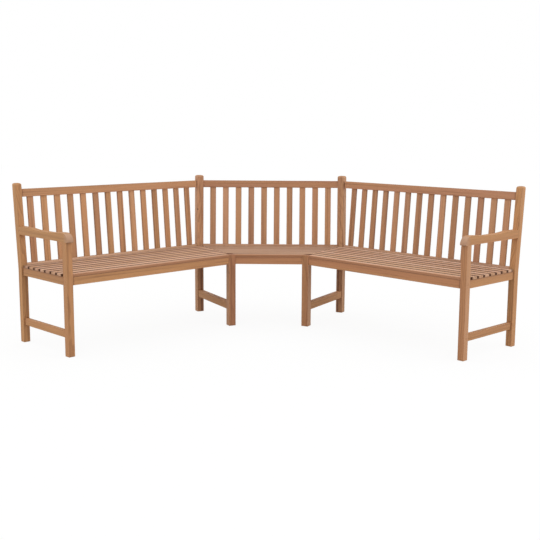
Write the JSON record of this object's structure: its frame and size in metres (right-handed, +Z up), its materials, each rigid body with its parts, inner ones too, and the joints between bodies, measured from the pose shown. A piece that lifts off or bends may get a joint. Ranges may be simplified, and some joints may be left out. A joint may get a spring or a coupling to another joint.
{
  "type": "teak corner bench",
  "caption": "Three-section slatted corner bench in teak with a raked slatted back all round, flat slatted seat, an armrest at each end and eight square legs.",
  "frame": {"origin": "on the floor under the middle of the bench's box", "axes": "+Z up, +X to the right of someone facing the bench from the front, across the open ends of both wings, +Y towards the centre back"},
  "size_m": [2.8564, 1.3596, 0.9],
  "materials": {
    "frame_teak": "bare sanded teak",
    "armrest_teak": "bare sanded teak",
    "back_teak": "bare sanded teak",
    "seat_teak": "bare sanded teak, palest on top"
  },
  "bodies": {
    "root": {"left_rear_post": "frame_teak", "left_front_leg": "frame_teak", "left_armrest": "armrest_teak", "left_seat_side_rail": "frame_teak", "left_lower_stretcher": "frame_teak", "left_corner_post": "frame_teak", "left_corner_leg": "frame_teak", "left_corner_bearer": "frame_teak", "left_corner_stretcher": "frame_teak", "right_rear_post": "frame_teak", "right_front_leg": "frame_teak", "right_armrest": "armrest_teak", "right_seat_side_rail": "frame_teak", "right_lower_stretcher": "frame_teak", "right_corner_post": "frame_teak", "right_corner_leg": "frame_teak", "right_corner_bearer": "frame_teak", "right_corner_stretcher": "frame_teak", "left_wing_top_rail": "frame_teak", "left_wing_slatted_back": "back_teak", "left_wing_apron": "frame_teak", "left_wing_middle_bearer": "frame_teak", "left_wing_seat_slat_1": "seat_teak", "left_wing_seat_slat_2": "seat_teak", "left_wing_seat_slat_3": "seat_teak", "left_wing_seat_slat_4": "seat_teak", "left_wing_seat_slat_5": "seat_teak", "left_wing_seat_slat_6": "seat_teak", "left_wing_seat_slat_7": "seat_teak", "left_wing_seat_slat_8": "seat_teak", "centre_top_rail": "frame_teak", "centre_slatted_back": "back_teak", "centre_apron": "frame_teak", "centre_middle_bearer": "frame_teak", "centre_seat_slat_1": "seat_teak", "centre_seat_slat_2": "seat_teak", "centre_seat_slat_3": "seat_teak", "centre_seat_slat_4": "seat_teak", "centre_seat_slat_5": "seat_teak", "centre_seat_slat_6": "seat_teak", "centre_seat_slat_7": "seat_teak", "centre_seat_slat_8": "seat_teak", "right_wing_top_rail": "frame_teak", "right_wing_slatted_back": "back_teak", "right_wing_apron": "frame_teak", "right_wing_middle_bearer": "frame_teak", "right_wing_seat_slat_1": "seat_teak", "right_wing_seat_slat_2": "seat_teak", "right_wing_seat_slat_3": "seat_teak", "right_wing_seat_slat_4": "seat_teak", "right_wing_seat_slat_5": "seat_teak", "right_wing_seat_slat_6": "seat_teak", "right_wing_seat_slat_7": "seat_teak", "right_wing_seat_slat_8": "seat_teak"}
  },
  "joints": []
}
